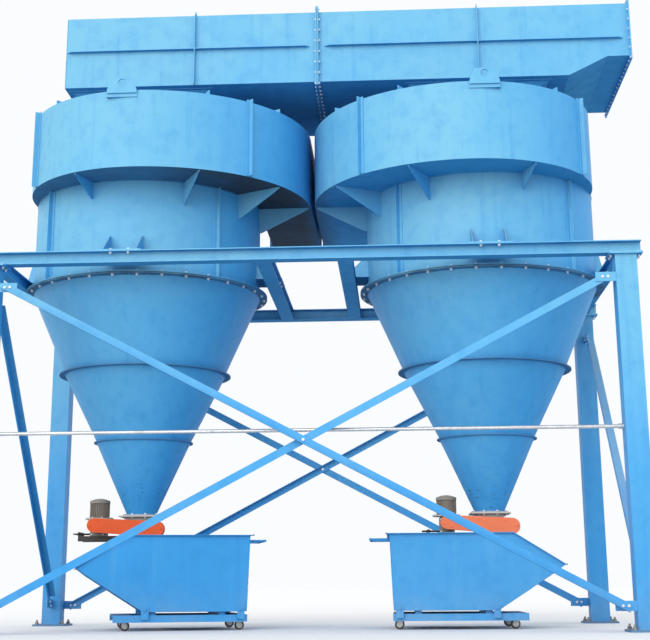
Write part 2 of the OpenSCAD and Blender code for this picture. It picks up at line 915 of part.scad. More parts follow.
module bin_side() {
    polygon([
        [0, bin_top], [bin_len, bin_top], [heel_x, bin_floor], [toe_x, bin_floor],
        [nose_in_x, nose_in_z], [nose_x, nose_z]
    ]);
}

// inner space of the bin, running out through the open top and mouth
module bin_room() {
    k = bin_t * 1.2;
    polygon([
        [bin_len - bin_t, bin_top + 50], [bin_len - bin_t, bin_top], [heel_x - bin_t, bin_floor + bin_t],
        [toe_x + k * 0.3, bin_floor + bin_t], [nose_in_x + k, nose_in_z + k], [nose_x - 100, nose_z + 86],
        [nose_x - 100, bin_top + 50]
    ]);
}

module bin_profile(y0, len) {
    translate([0, y0 + len, 0]) rotate([90, 0, 0]) linear_extrude(len) children();
}

// turned-out lip along the rim of one side, seen from the side
module bin_lip() {
    slope = atan2(bin_top - nose_z, -nose_x);
    polygon([
        [nose_x, nose_z], [0, bin_top], [bin_len + lip_w, bin_top], [bin_len + lip_w, bin_top - lip_t],
        [lip_t * tan(slope / 2), bin_top - lip_t], [nose_x + lip_t * sin(slope), nose_z - lip_t * cos(slope)]
    ]);
}

module bin(side) {
    color(blue) on_bin(side) {
        difference() {
            bin_profile(-bin_w / 2, bin_w) bin_side();
            bin_profile(-bin_w / 2 + bin_t, bin_w - 2 * bin_t) bin_room();
        }
        for (s = [0, 1]) mirror([0, s, 0]) bin_profile(-bin_w / 2 - lip_w, lip_w) bin_lip();
        translate([bin_len - bin_t, -bin_w / 2, bin_top - lip_t])
            cube([lip_w + bin_t, bin_w, lip_t]);
        // pull handle
        for (s = [-1, 1]) translate([bin_len - 6, s * handle_y, bin_top - 45]) rotate([0, 90, 0])
            cylinder(r = handle_arm_r, h = handle_reach, $fn = 24);
        translate([bin_len + handle_reach - 6, handle_y + handle_r, bin_top - 45]) rotate([90, 0, 0])
            cylinder(r = handle_r, h = 2 * (handle_y + handle_r), $fn = 24);
    }
}

rail_h = 66;
rail_t = 45;
rail_z = 79;
rail_top = rail_z + rail_h;
trolley_x0 = -118;
trolley_x1 = bin_len - 20;
trolley_y = 560;
caster_x = 110;
caster_y = 430;
pad_t = 10;

module rail(x0, x1, y) {
    translate([x0, y - rail_t / 2, rail_z]) difference() {
        cube([x1 - x0, rail_t, rail_h]);
        translate([-1, y > 0 ? -1 : 6, 8]) cube([x1 - x0 + 2, rail_t - 5, rail_h - 16]);
    }
}

module trolley(side) {
    span = 2 * trolley_y - rail_t;
    color(blue) on_bin(side) {
        for (s = [-1, 1]) rail(trolley_x0, trolley_x1, s * trolley_y);
        // caster plates across both ends and bearers under the bin
        for (x = [trolley_x0, trolley_x1 - 180])
            translate([x, -span / 2 - 5, rail_top - pad_t]) cube([180, span + 10, pad_t]);
        for (x = [toe_x + 60, heel_x - 260])
            translate([x, -trolley_y, rail_top - pad_t - 40])
                cube([60, 2 * trolley_y, bin_floor - eps - rail_top + pad_t + 40]);
        // pivot ears beside the bin
        for (x = [toe_x - 20, heel_x - 90], s = [-1, 1])
            translate([x, s * (bin_w / 2 + eps) - (s < 0 ? 10 : 0), rail_top - 40])
                difference() {
                    cube([70, 10, 120]);
                    translate([35, -1, 90]) rotate([-90, 0, 0]) cylinder(r = 9, h = 12, $fn = 24);
                }
        for (x = [toe_x - 20, heel_x - 90], s = [-1, 1])
            translate([x, s > 0 ? trolley_y : -bin_w / 2 - 10 - eps, rail_top - 40])
                cube([70, bin_w / 2 + 10 + eps - trolley_y, 40]);
    }
}

wheel_w = 36;

module caster(turn) {
    r = wheel_d / 2;
    rotate(turn) {
        translate([0, 0, rail_top - pad_t - eps - 8]) {
            translate([-50, -40, 0]) cube([100, 80, 8]);
            translate([0, 0, -6]) cylinder(r = 28, h = 6);
        }
        for (s = [-1, 1])
            translate([0, s * (wheel_w / 2 + 4) - 2, r - 14])
                cube([48, 4, rail_top - pad_t - eps - 14 - r + 14]);
        translate([-26, -wheel_w / 2 - 6, rail_top - pad_t - eps - 18]) cube([74, wheel_w + 12, 5]);
        translate([30, wheel_w / 2, r]) rotate([90, 0, 0]) cylinder(r = r, h = wheel_w);
        translate([30, wheel_w / 2 + 10, r]) rotate([90, 0, 0]) cylinder(r = 6, h = wheel_w + 20, $fn = 24);
    }
}

module casters() {
    color("gray") for (side = [-1, 1]) on_bin(side)
        for (x = [trolley_x0 + 90, trolley_x1 - 90], y = [-caster_y, caster_y])
            translate([x, y, 0]) caster(0);
}

column(-1, -1);  // column_front_left
column(1, -1);  // column_front_right
column(-1, 1);  // column_rear_left
column(1, 1);  // column_rear_right
main_beam(-1);  // front_beam
main_beam(1);  // rear_beam
end_beams();
middle_beams();
front_bracing();
rear_bracing();
side_bracing();
tie_pipe();
header_left_section();
header_right_section();
header_ribs();
outlet_hood(-1);  // left_outlet_hood
outlet_hood(1);  // right_outlet_hood
vortex_finders();
scroll_wall(-1);  // left_scroll_wall
scroll_wall(1);  // right_scroll_wall
scroll_floor(-1);  // left_scroll_floor
scroll_floor(1);  // right_scroll_floor
scroll_roof(-1);  // left_scroll_roof
scroll_roof(1);  // right_scroll_roof
inlet_duct(-1);  // left_inlet_duct
inlet_duct(1);  // right_inlet_duct
lifting_lugs();
scroll_gussets();
shell_stiffeners();
barrel(-1);  // left_barrel
barrel(1);  // right_barrel
support_brackets();
cone_gaskets();
upper_cone(-1);  // left_upper_cone
upper_cone(1);  // right_upper_cone
middle_cone(-1);  // left_middle_cone
middle_cone(1);  // right_middle_cone
lower_cone(-1);  // left_lower_cone
lower_cone(1);  // right_lower_cone
rotary_valves();
gear_motors();
motor_brackets();
chain_guards();
bin(-1);  // left_bin
bin(1);  // right_bin
trolley(-1);  // left_trolley
trolley(1);  // right_trolley
casters();
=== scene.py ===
# %% [markdown]
# # Dressing a twin cyclone separator
# The steel frame, the cyclones, the header and the two dust bins come in as exact solids.
# This notebook gives them their paint and adds what a fitter would add on site: bolts,
# screws, weld beads and the plugs in the lips of the bins. Everything is in metres, +Z up,
# in one frame.

import json
import math
import random

import bmesh
import bpy
from mathutils import Matrix, Vector


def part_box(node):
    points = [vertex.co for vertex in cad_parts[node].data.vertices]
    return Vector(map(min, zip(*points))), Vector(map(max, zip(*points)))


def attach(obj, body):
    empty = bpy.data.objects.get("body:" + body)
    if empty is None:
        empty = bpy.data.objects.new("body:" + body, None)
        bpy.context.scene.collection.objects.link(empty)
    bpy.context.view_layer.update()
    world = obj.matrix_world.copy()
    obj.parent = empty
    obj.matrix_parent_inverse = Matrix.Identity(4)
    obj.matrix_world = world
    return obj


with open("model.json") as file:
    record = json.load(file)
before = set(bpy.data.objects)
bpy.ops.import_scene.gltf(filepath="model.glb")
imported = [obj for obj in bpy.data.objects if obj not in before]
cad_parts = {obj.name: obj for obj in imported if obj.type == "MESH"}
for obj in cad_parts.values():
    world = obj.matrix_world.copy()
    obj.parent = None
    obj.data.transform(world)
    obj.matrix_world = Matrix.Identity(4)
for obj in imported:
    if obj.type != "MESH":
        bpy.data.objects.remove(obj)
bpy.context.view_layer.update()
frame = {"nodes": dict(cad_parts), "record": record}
nodes = frame["nodes"]

# %% [markdown]
# ## Where things are
# The bolts and welds sit on the solids, so their places are measured from the solids'
# own boxes and not typed in twice. A barrel's box gives the axis of its cyclone.

# %% Measure the solids
def low(node):
    return Vector(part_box(node)[0])


def high(node):
    return Vector(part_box(node)[1])


def middle(node):
    return (low(node) + high(node)) / 2


SIDES = {"left": -1, "right": 1}
axis = {side: middle(side + "_barrel") for side in SIDES}
joint_flange = 0.012
joint_width = 0.080
barrel_radius = (high("left_barrel").x - low("left_barrel").x) / 2 - joint_width
joint_top = low("left_barrel").z + joint_flange
joint_low = high("left_upper_cone").z - joint_flange
floor_of_scroll = low("left_scroll_floor").z
roof_rib = 0.050
roof = high("left_scroll_roof").z - roof_rib
beam_low, beam_top = low("front_beam").z, high("front_beam").z
column_x = [middle("column_front_left").x, middle("column_front_right").x]
column_y = [middle("column_front_left").y, middle("column_rear_left").y]
ring_thick = 0.012
ring_width = {"middle": 0.065, "lower": 0.030}


def cone_top(side, shell):
    """Height and radius of a cone where its flat ring sits, from the ring's own box."""
    node = side + "_" + shell + "_cone"
    return high(node).z, (high(node).x - low(node).x) / 2 - ring_width[shell]


print("barrel radius", round(barrel_radius, 3), "joint", round(joint_top, 3), "roof", round(roof, 3))

# %% [markdown]
# ## The bins' own directions
# The bins are on wheels, and the left one stands a little turned, as in the photograph.
# One matrix per bin carries a place on the bin to its place on the floor, so that welds,
# pivots and the masks of the wheels are all written once, for a bin that stands straight.

# %% A matrix for each bin
bin_pivot = 0.600
bin_turn = {"left": math.radians(13.5), "right": 0.0}
bin_shift = {"left": -0.145, "right": -0.180}


def on_bin(side):
    """From a bin's own directions, along, across and up, to the machine's."""
    mirror = Matrix.Diagonal((-SIDES[side], 1, 1, 1))
    foot = Matrix.Translation((axis[side].x, axis[side].y, 0))
    turn = Matrix.Rotation(bin_turn[side], 4, "Z")
    shifted = Matrix.Translation((bin_shift[side] + bin_pivot, 0, 0)) @ turn
    return foot @ mirror @ shifted @ Matrix.Translation((-bin_pivot, 0, 0))


print("bins turned by", [round(math.degrees(turn), 1) for turn in bin_turn.values()], "degrees")

# %% [markdown]
# ## The camera
# The photograph was taken from low down in front of the machine, looking up. The
# camera's place, direction and lens come from fitting the edges of the columns, beams,
# header, cones and bins. The photograph shows the lower part of what the lens saw, which
# is a lens shift. Only a part of that shift is kept here, because the camera takes it
# along when it moves round the machine.

# %% Set the camera
bpy.context.scene.view_settings.view_transform = "Standard"
picture_width = 650
focal_pixels = 1318.1
shift_pixels = -85
sensor = 36


def place_camera(place, yaw, pitch, roll):
    data = bpy.data.cameras.new("camera")
    data.sensor_width = sensor
    data.lens = focal_pixels * sensor / picture_width
    data.shift_y = shift_pixels / picture_width
    data.clip_start, data.clip_end = 0.5, 200
    camera = bpy.data.objects.new("camera", data)
    bpy.context.scene.collection.objects.link(camera)
    yaw, pitch, roll = (math.radians(v) for v in (yaw, pitch, roll))
    level = Vector((-math.sin(yaw), math.cos(yaw), 0))
    ahead = level * math.cos(pitch) + Vector((0, 0, math.sin(pitch)))
    right = Vector((math.cos(yaw), math.sin(yaw), 0))
    up = right.cross(ahead)
    rows = Matrix((
        right * math.cos(roll) + up * math.sin(roll),
        up * math.cos(roll) - right * math.sin(roll),
        -ahead,
    ))
    camera.matrix_world = Matrix.Translation(place) @ rows.transposed().to_4x4()
    bpy.context.scene.camera = camera
    return camera


camera = place_camera((0.787, -13.587, 0.393), yaw=3.094, pitch=14.96, roll=-0.377)
print("lens", round(camera.data.lens, 1), "mm")

# %% [markdown]
# ## Shader maths in Python
# Paint needs masks, and masks need sums. Wrapping a socket in a small class lets an
# ordinary expression such as 1 - dust * 0.4 build its Math nodes by itself.

# %% A class for shader values
class Term:
    """A socket that takes part in sums."""

    def __init__(self, tree, socket):
        self.tree, self.socket = tree, socket

    def maths(self, operation, first, second=0.0, clamp=False):
        node = self.tree.nodes.new("ShaderNodeMath")
        node.operation, node.use_clamp = operation, clamp
        for socket, value in zip(node.inputs, (first, second)):
            if isinstance(value, Term):
                self.tree.links.new(value.socket, socket)
            else:
                socket.default_value = value
        return Term(self.tree, node.outputs[0])

    def __add__(self, other):
        return self.maths("ADD", self, other)

    def __radd__(self, other):
        return self.maths("ADD", other, self)

    def __sub__(self, other):
        return self.maths("SUBTRACT", self, other)

    def __rsub__(self, other):
        return self.maths("SUBTRACT", other, self)

    def __mul__(self, other):
        return self.maths("MULTIPLY", self, other)

    def __rmul__(self, other):
        return self.maths("MULTIPLY", other, self)

    def __gt__(self, other):
        return self.maths("GREATER_THAN", self, other)

    def __lt__(self, other):
        return self.maths("LESS_THAN", self, other)

    def size(self):
        return self.maths("ABSOLUTE", self)

    def clamped(self):
        return self.maths("ADD", self, 0.0, clamp=True)


print("sums on sockets: + - * < >, size and clamped")

# %% [markdown]
# ## One class for a material
# Every finish on the machine is a Principled shader with nodes in front of it. The class
# holds the shader, makes any node in one line, and reads places in Object coordinates, so
# that a pattern is fixed to the steel and runs on from one piece to the next.

# %% A class for a material
class Finish:
    """One material: a Principled shader and the nodes that feed it."""

    def __init__(self, name, **uniform):
        self.material = bpy.data.materials.new(name)
        self.material.use_nodes = True
        self.tree = self.material.node_tree
        self.shader = self.tree.nodes["Principled BSDF"]
        for socket, value in uniform.items():
            self.shader.inputs[socket.replace("_", " ")].default_value = value
        self.place = self.node("ShaderNodeTexCoord", out="Object")

    def node(self, kind, sockets=None, out=0, **settings):
        made = self.tree.nodes.new(kind)
        for key, value in settings.items():
            if key == "stops":
                ramp = made.color_ramp
                while len(ramp.elements) < len(value):
                    ramp.elements.new(0.5)
                for element, (position, colour) in zip(ramp.elements, value):
                    element.position, element.color = position, (*colour, 1)
            else:
                setattr(made, key, value)
        for key, value in (sockets or {}).items():
            if isinstance(value, Term):
                self.tree.links.new(value.socket, made.inputs[key])
            else:
                made.inputs[key].default_value = value
        return Term(self.tree, made.outputs[out])

    def noise(self, scale, detail=3.0, rough=0.55, stretch=(1, 1, 1), turn=(0, 0, 0)):
        placing = {"Vector": self.place, "Scale": stretch, "Rotation": turn}
        where = self.node("ShaderNodeMapping", placing)
        sockets = {"Vector": where, "Scale": scale, "Detail": detail, "Roughness": rough}
        return self.node("ShaderNodeTexNoise", sockets)

    def ramp(self, value, start, end):
        """0 below start, 1 above end."""
        return self.node(
            "ShaderNodeMapRange",
            {"Value": value, "From Min": start, "From Max": end, "To Min": 0.0, "To Max": 1.0},
            clamp=True, interpolation_type="SMOOTHSTEP",
        )

    def blend(self, factor, first, second):
        """Mix two colours, which are sockets 6 and 7 of a Mix node."""
        made = self.tree.nodes.new("ShaderNodeMix")
        made.data_type, made.clamp_factor = "RGBA", True
        for index, value in ((0, factor), (6, first), (7, second)):
            if isinstance(value, Term):
                self.tree.links.new(value.socket, made.inputs[index])
            else:
                made.inputs[index].default_value = value if index == 0 else (*value, 1)
        return Term(self.tree, made.outputs[2])

    def fed(self, socket):
        """What already feeds a socket of the shader."""
        return Term(self.tree, self.shader.inputs[socket].links[0].from_socket)

    def feed(self, **terms):
        for socket, term in terms.items():
            self.tree.links.new(term.socket, self.shader.inputs[socket.replace("_", " ")])

    def bump(self, height, distance, strength=1.0, under=None):
        sockets = {"Height": height, "Distance": distance, "Strength": strength}
        if under is not None:
            sockets["Normal"] = under
        return self.node("ShaderNodeBump", sockets)

    def split(self, vector, index):
        return self.node("ShaderNodeSeparateXYZ", {"Vector": vector}, out=index)


print("materials made from one class, on Object coordinates")

# %% [markdown]
# ## What every paint reads
# The whole plant is brushed and sprayed with one sky-blue enamel. On the real thing the
# coat is never even: it fades in broad patches, rain leaves faint upright streaks, dust
# settles on what faces up, soot clings under the left scroll, and small chips show the
# primer. Over this, light and shade are painted in: paler high up and towards the key lamp,
# deeper low down and on what faces down. Each of these is a mask, and all masks are made
# from a few measures: where a point is, which way its surface faces, and two or three slow
# noises.

# %% Measures for the masks
# the direction towards the key lamp, which sets where the painted highlight falls
TOWARDS_KEY_LAMP = (-0.45, -0.77, 0.45)


class Coat(Finish):
    """Enamel on steel plate."""

    def __init__(self, name, chips):
        super().__init__(name, IOR=1.5, Specular_IOR_Level=0.24)
        self.chips = chips
        outward = self.node("ShaderNodeNewGeometry", out="Normal")
        self.facing = self.split(outward, 2)
        self.key_facing = self.node(
            "ShaderNodeVectorMath", {0: outward, 1: TOWARDS_KEY_LAMP}, out="Value", operation="DOT_PRODUCT"
        )
        self.east = self.split(self.place, 0)
        self.height = self.split(self.place, 2)
        self.hanging = self.ramp(self.facing, -0.30, -0.92)
        self.mottle = self.noise(7.0, 5.0, 0.65)
        self.cloud = self.noise(3.1, 5.0, 0.7)
        self.allowed = self.noise(2.3, 3.0, 0.6)


print("a coat's masks use place, facing and three noises")

# %% [markdown]
# ## Painted light, fading and rain
# The high parts and the sides that face the key lamp are painted paler, a painted highlight laid
# over patches where the coat has faded, so two ramps multiply; the low parts get a deeper painted
# shade. The streaks are a noise that is stretched upright: large scales across, a small one along Z.

# %% Fade and streak the colour, and paint in highlight and shade
def weathered(coat, colour, faded, deep):
    patches = coat.noise(0.55, 4.0, 0.6)
    streaks = coat.noise(1.0, 4.0, 0.6, stretch=(11, 11, 0.7))
    # painted highlight: paler high up and on faces towards the key lamp, over real faded patches
    faded_and_lit = coat.ramp(patches, 0.34, 0.68) * 0.25 + coat.ramp(coat.height, 0.6, 3.7) * 0.50
    faded_and_lit = faded_and_lit * (0.25 + coat.ramp(coat.key_facing, -0.1, 0.95) * 1.25)
    # painted shade: a deeper tone low down
    painted_low_shade = coat.ramp(coat.height, 2.4, 0.3) * 0.42
    tone = coat.blend(faded_and_lit.clamped(), colour, faded)
    tone = coat.blend(coat.ramp(coat.mottle, 0.42, 0.75) * 0.28 + painted_low_shade, tone, deep)
    tone = coat.blend(coat.ramp(streaks, 0.52, 0.78) * 0.30, tone, deep)
    return coat.blend(coat.ramp(streaks, 0.47, 0.20) * 0.22, tone, faded)


print("weathering: bleached high up, deep low down")

# %% [markdown]
# ## Painted shade and soot underneath
# What faces down gets a painted shade, a deeper tone of its coat. Under the floor of the left
# scroll the underside is sooty, and towards the inlets in the middle it is nearly black with
# soot; under the right scroll's floor, away from the inlets, the painted shade is deeper. The
# floor of a scroll is known by its height, so the mask needs no pieces of its own.

# %% Darken what faces down
middle_x = middle("middle_beams").x
SOOT = (0.026, 0.030, 0.034)
THIN_SOOT = (0.035, 0.060, 0.100)
CLEAN_SHADE = (0.030, 0.270, 0.560)


def darkened_below(coat, tone, shade):
    # painted shade on every face that looks down
    painted_underside_shade = coat.hanging * (0.45 + coat.ramp(coat.mottle, 0.3, 0.8) * 0.3)
    tone = coat.blend(painted_underside_shade, tone, shade)
    eaves = coat.hanging * ((coat.height - floor_of_scroll).size() < 0.04)
    sooty = coat.ramp(coat.east, middle_x + 0.30, middle_x - 0.20)
    inlet_side = coat.ramp((coat.east - middle_x).size(), 1.60, 0.60)
    tone = coat.blend(eaves * (0.30 + coat.cloud * 0.50) * sooty, tone, THIN_SOOT)
    # painted shade: a deeper blue under the right scroll's floor, away from the inlets
    tone = coat.blend(eaves * (1.0 - sooty) * (1.0 - inlet_side) * 0.7, tone, CLEAN_SHADE)
    return coat.blend(eaves * sooty * inlet_side * (0.55 + coat.cloud * 0.5), tone, SOOT)


print("plane of symmetry at x =", round(middle_x, 3))

# %% [markdown]
# ## Dust and splashes
# Dust lies on what faces up, and the ground splashes the feet. Both are one pale grime
# that also dulls the gloss, so the function gives the mask back with the colour. The base
# plates, 20 mm thick, are grey with mud.

# %% Lay the dust
DUST = (0.36, 0.34, 0.30)
MUD = (0.120, 0.130, 0.140)
base_plate_top = 0.0205
splash_height = 0.55


def dusted(coat, tone, dust):
    settled = coat.ramp(coat.facing, 0.25, 0.9) * (0.25 + coat.cloud * dust)
    splash = coat.ramp(coat.height, splash_height, 0.0) * coat.ramp(coat.cloud, 0.25, 0.75) * 0.32
    grime = (settled + splash).clamped()
    tone = coat.blend(grime * 0.75, tone, DUST)
    muddy = (coat.height < base_plate_top) * (0.30 + coat.cloud * 0.5)
    return coat.blend(muddy, tone, MUD), grime


print("splashes reach", splash_height, "m up")

# %% [markdown]
# ## Joints and rings
# Oily dust weeps from the bolted joint of each cyclone, the stiffening rings gather dirt,
# and the outlet flange of the cone was never painted. Each is a band round the cyclone's
# axis: a range of heights times a range of distances from the axis.

# %% Mark the bands round each cyclone
JOINT_DIRT = (0.045, 0.075, 0.11)
RING_DIRT = (0.030, 0.120, 0.260)
RAW_STEEL = (0.40, 0.42, 0.42)
outlet_low = low("left_lower_cone").z


def banded(coat, tone, off):
    """Colour the bands; off is the distance from the cyclone's axis."""
    joint = (coat.height > joint_low - 0.004) * (coat.height < joint_top - joint_flange + 0.002)
    joint = joint * (off > barrel_radius + 0.004) * (off < barrel_radius + 0.090)
    tone = coat.blend(joint * (0.45 + coat.ramp(coat.cloud, 0.35, 0.7) * 0.4), tone, JOINT_DIRT)
    for shell in ring_width:
        top, radius = cone_top("left", shell)
        level = top - ring_thick / 2
        edge = ((coat.height - level).size() < 0.016) * (off > radius + 0.012) * (off < radius + 0.075)
        tone = coat.blend(edge * 0.75, tone, RING_DIRT)
    outlet = (coat.height > outlet_low - 0.002) * (coat.height < outlet_low + 0.0145) * (off < 0.20)
    return coat.blend(outlet * 0.85, tone, RAW_STEEL)


print("outlet flange from z =", round(outlet_low, 3))

# %% [markdown]
# ## Chips, knocks and scratches
# A chip is a sharp threshold of a fine noise, let through only where a slow noise allows
# it, so that chips come in groups. Low on the cones stuck dust is beaten loose with a
# hammer, and the knocks show. Scratches are a noise that is squeezed hard along one axis.

# %% Chips and knocks
def chipped(coat):
    fleck = coat.noise(85.0, 2.0, 0.5)
    return coat.ramp(fleck, 0.715, 0.735) * coat.ramp(coat.allowed, 0.56, 0.62) * coat.chips


def knocked(coat, off):
    beaten = (off < 0.36) * coat.ramp(coat.height, 1.62, 1.20) * (coat.height > 1.113)
    dents = coat.noise(1.0, 3.0, 0.6, stretch=(26, 26, 60))
    return beaten * coat.ramp(dents, 0.63, 0.66) * 0.8 * coat.chips


def scratched(coat):
    lines = coat.noise(1.0, 2.0, 0.4, stretch=(2.2, 2.2, 190), turn=(0.5, 0.35, 0.0))
    return coat.ramp(lines, 0.735, 0.75) * coat.ramp(coat.allowed, 0.58, 0.7) * 0.5 * coat.chips


print("chips follow the allowed patches")

# %% [markdown]
# ## The whole coat
# The steps follow one another: the coat fades and is painted paler where light falls and deeper
# low down, then what faces down gets painted shade and the dirt comes, then it is chipped. The
# same masks raise the roughness, and a bump gives the orange peel of sprayed enamel over the
# slight waves of the plate.

# %% Paint in one recipe
PRIMER = (0.035, 0.045, 0.06)


# faded is also the tone of the painted highlight; deep also that of the painted shade low down, and shade
# that of the painted shade on what faces down
def paint(name, colour, faded, deep, shade, chip=PRIMER, dust=0.55, chips=1.0, gloss=0.42):
    coat = Coat(name, chips)
    tone = weathered(coat, colour, faded, deep)
    tone = darkened_below(coat, tone, shade)
    tone, grime = dusted(coat, tone, dust)
    bare = chipped(coat)
    ground_plan = coat.node("ShaderNodeVectorMath", {0: coat.place, 1: (1, 1, 0)}, operation="MULTIPLY")
    for centre in axis.values():
        ends = {0: ground_plan, 1: (centre.x, centre.y, 0)}
        off = coat.node("ShaderNodeVectorMath", ends, out="Value", operation="DISTANCE")
        tone = banded(coat, tone, off)
        bare = bare + knocked(coat, off)
    tone = coat.blend(scratched(coat), tone, faded)
    tone = coat.blend(bare.clamped(), tone, chip)
    brushed = coat.noise(1.0, 3.0, 0.5, stretch=(4, 4, 60))
    rough = gloss + coat.mottle * 0.10 + brushed * 0.05 + grime * 0.35 + bare * 0.25 + coat.hanging * 0.45
    wavy = coat.bump(coat.noise(1.4, 2.0, 0.4), 0.020, 0.35)
    peel = coat.noise(240.0, 2.0, 0.5)
    normal = coat.bump(peel + brushed * 0.6 - bare * 1.5, 0.0005, 0.35, wavy)
    coat.feed(Base_Color=tone, Roughness=rough.clamped(), Normal=normal)
    return coat


SKY = paint(
    "sky_blue_enamel",
    colour=(0.042, 0.335, 0.735), faded=(0.160, 0.455, 0.655),
    deep=(0.026, 0.245, 0.580), shade=(0.026, 0.225, 0.500),
)
print("painted:", SKY.material.name)

# %% [markdown]
# ## The other paints
# The chain guards are signal orange, the motors a beige grey, the valves a light grey and
# the motor brackets oily black. They weather and take painted highlight and shade as the blue
# does, so they are the same recipe with other colours.

# %% Mix the other paints
ORANGE = paint(
    "guard_orange",
    colour=(0.80, 0.100, 0.016), faded=(0.84, 0.150, 0.045),
    deep=(0.62, 0.075, 0.014), shade=(0.30, 0.05, 0.015),
    chip=(0.10, 0.09, 0.08), dust=0.5,
)
GREY = paint(
    "motor_grey",
    colour=(0.30, 0.27, 0.225), faded=(0.36, 0.325, 0.275),
    deep=(0.19, 0.17, 0.145), shade=(0.10, 0.09, 0.08),
    dust=0.5, chips=0.6, gloss=0.5,
)
VALVE = paint(
    "valve_grey",
    colour=(0.36, 0.37, 0.37), faded=(0.46, 0.47, 0.46),
    deep=(0.22, 0.225, 0.22), shade=(0.12, 0.125, 0.12),
    dust=0.8, chips=0.8, gloss=0.5,
)
OILY = paint(
    "oily_black",
    colour=(0.062, 0.053, 0.045), faded=(0.085, 0.075, 0.064),
    deep=(0.036, 0.031, 0.026), shade=(0.010, 0.009, 0.008),
    chip=(0.12, 0.10, 0.08), dust=0.35, gloss=0.38,
)
print("paints:", [coat.material.name for coat in (ORANGE, GREY, VALVE, OILY)])

# %% [markdown]
# ## Touches on single parts
# The right-hand guard gets the sun all day and has faded more than the left one. The top
# flanges of the gearboxes and of the valves are machined faces without paint. Each touch
# takes the colour that already feeds the shader and blends over it where a mask allows.

# %% Fade one guard and bare the flanges
def sun_faded(coat, colour):
    cloud = coat.noise(7.0, 4.0, 0.6)
    right = coat.east > middle_x
    coat.feed(Base_Color=coat.blend(right * (0.55 + cloud * 0.45), coat.fed("Base Color"), colour))


def bare_flange(coat, level, thick, colour):
    """Leave a flange unpainted, found by its level."""
    mask = (coat.height - level).size() < thick / 2
    cloud = coat.noise(12.0, 4.0, 0.6)
    coat.feed(Base_Color=coat.blend(mask * (0.65 + cloud * 0.3), coat.fed("Base Color"), colour))


sun_faded(ORANGE, (0.87, 0.235, 0.115))
bare_flange(GREY, 1.076, 0.016, (0.52, 0.50, 0.46))
bare_flange(VALVE, 1.094, 0.014, (0.56, 0.55, 0.51))
print("guard faded, flanges bared")

# %% [markdown]
# ## Bare metals and rubber
# Galvanised pipe shows zinc spangle: patches of slightly different grey, each with its
# own gloss. Bolts are zinc-plated and dull. The gasket is a black sheet whose cut edge
# shows between the flanges, and the wheels are dark nylon in plated forks.

# %% Zinc, plated steel, gasket and wheels
def galvanised():
    finish = Finish("galvanised_zinc", Metallic=1.0)
    cells = finish.node("ShaderNodeTexVoronoi", {"Vector": finish.place, "Scale": 90.0}, out="Color")
    spangle = finish.split(cells, 0)
    cloud = finish.noise(6.0, 4.0, 0.6)
    tone = finish.blend(spangle, (0.50, 0.52, 0.54), (0.68, 0.69, 0.70))
    tone = finish.blend(finish.ramp(cloud, 0.5, 0.8) * 0.5, tone, (0.33, 0.31, 0.28))
    finish.feed(Base_Color=tone, Roughness=0.32 + spangle * 0.16 + cloud * 0.12,
                Normal=finish.bump(spangle + cloud, 0.0004, 0.3))
    return finish


RUST = (0.16, 0.075, 0.035)


def plated(name, light, dark, rough=0.38, rusty=0.7, metallic=0.85):
    finish = Finish(name, Metallic=metallic)
    cloud = finish.noise(34.0, 4.0, 0.6)
    rust = finish.ramp(finish.noise(17.0, 5.0, 0.7), 0.62, 0.78)
    tone = finish.blend(cloud, dark, light)
    tone = finish.blend(rust * rusty, tone, RUST)
    rough = rough + cloud * 0.15 + rust * 0.3
    finish.feed(Base_Color=tone, Roughness=rough, Normal=finish.bump(cloud, 0.0004, 0.3))
    return finish


def sheet_gasket():
    finish = Finish("gasket_black")
    cloud = finish.noise(22.0, 4.0, 0.6)
    tone = finish.blend(finish.ramp(cloud, 0.4, 0.8) * 0.6, (0.014, 0.014, 0.015), (0.06, 0.057, 0.052))
    finish.feed(Base_Color=tone, Roughness=0.72 + cloud * 0.2, Normal=finish.bump(cloud, 0.0006, 0.4))
    return finish


ZINC = galvanised()
ANCHOR = plated("anchor_steel", (0.30, 0.29, 0.27), (0.17, 0.155, 0.14), rusty=0.6)
BOLT = plated("plated_bolt", (0.76, 0.80, 0.84), (0.54, 0.58, 0.62), rusty=0.10, metallic=0.55)
GASKET = sheet_gasket()
print("metals ready")

# %% [markdown]
# ## Casters
# A caster is two materials in one solid: a plated fork and a dark wheel. The wheel is
# found by its place: it lies within half its width of the middle plane of each fork.

# %% Fork and wheel in one finish
wheel_track = 0.430
wheel_half_width = 0.0182
wheel_top = 0.0935
axle_height = 0.046
axle_middle = 0.551
axle_spacing = 0.549
hub_radius = 0.0283


def wheel_masks(finish, side):
    """Masks for the wheels and hubs of one bin, in the bin's own directions."""
    own = on_bin(side).inverted()
    east, north, upright = (finish.split(finish.place, index) for index in range(3))
    length = east * own[0][0] + north * own[0][1] + own[0][3]
    across = east * own[1][0] + north * own[1][1] + own[1][3]
    wheel = ((across.size() - wheel_track).size() < wheel_half_width) * (upright < wheel_top)
    wheel = wheel * ((length - axle_middle).size() < 0.75)
    off = (length - axle_middle).size() - axle_spacing
    above = upright - axle_height
    return wheel, wheel * ((off * off + above * above) < hub_radius ** 2)


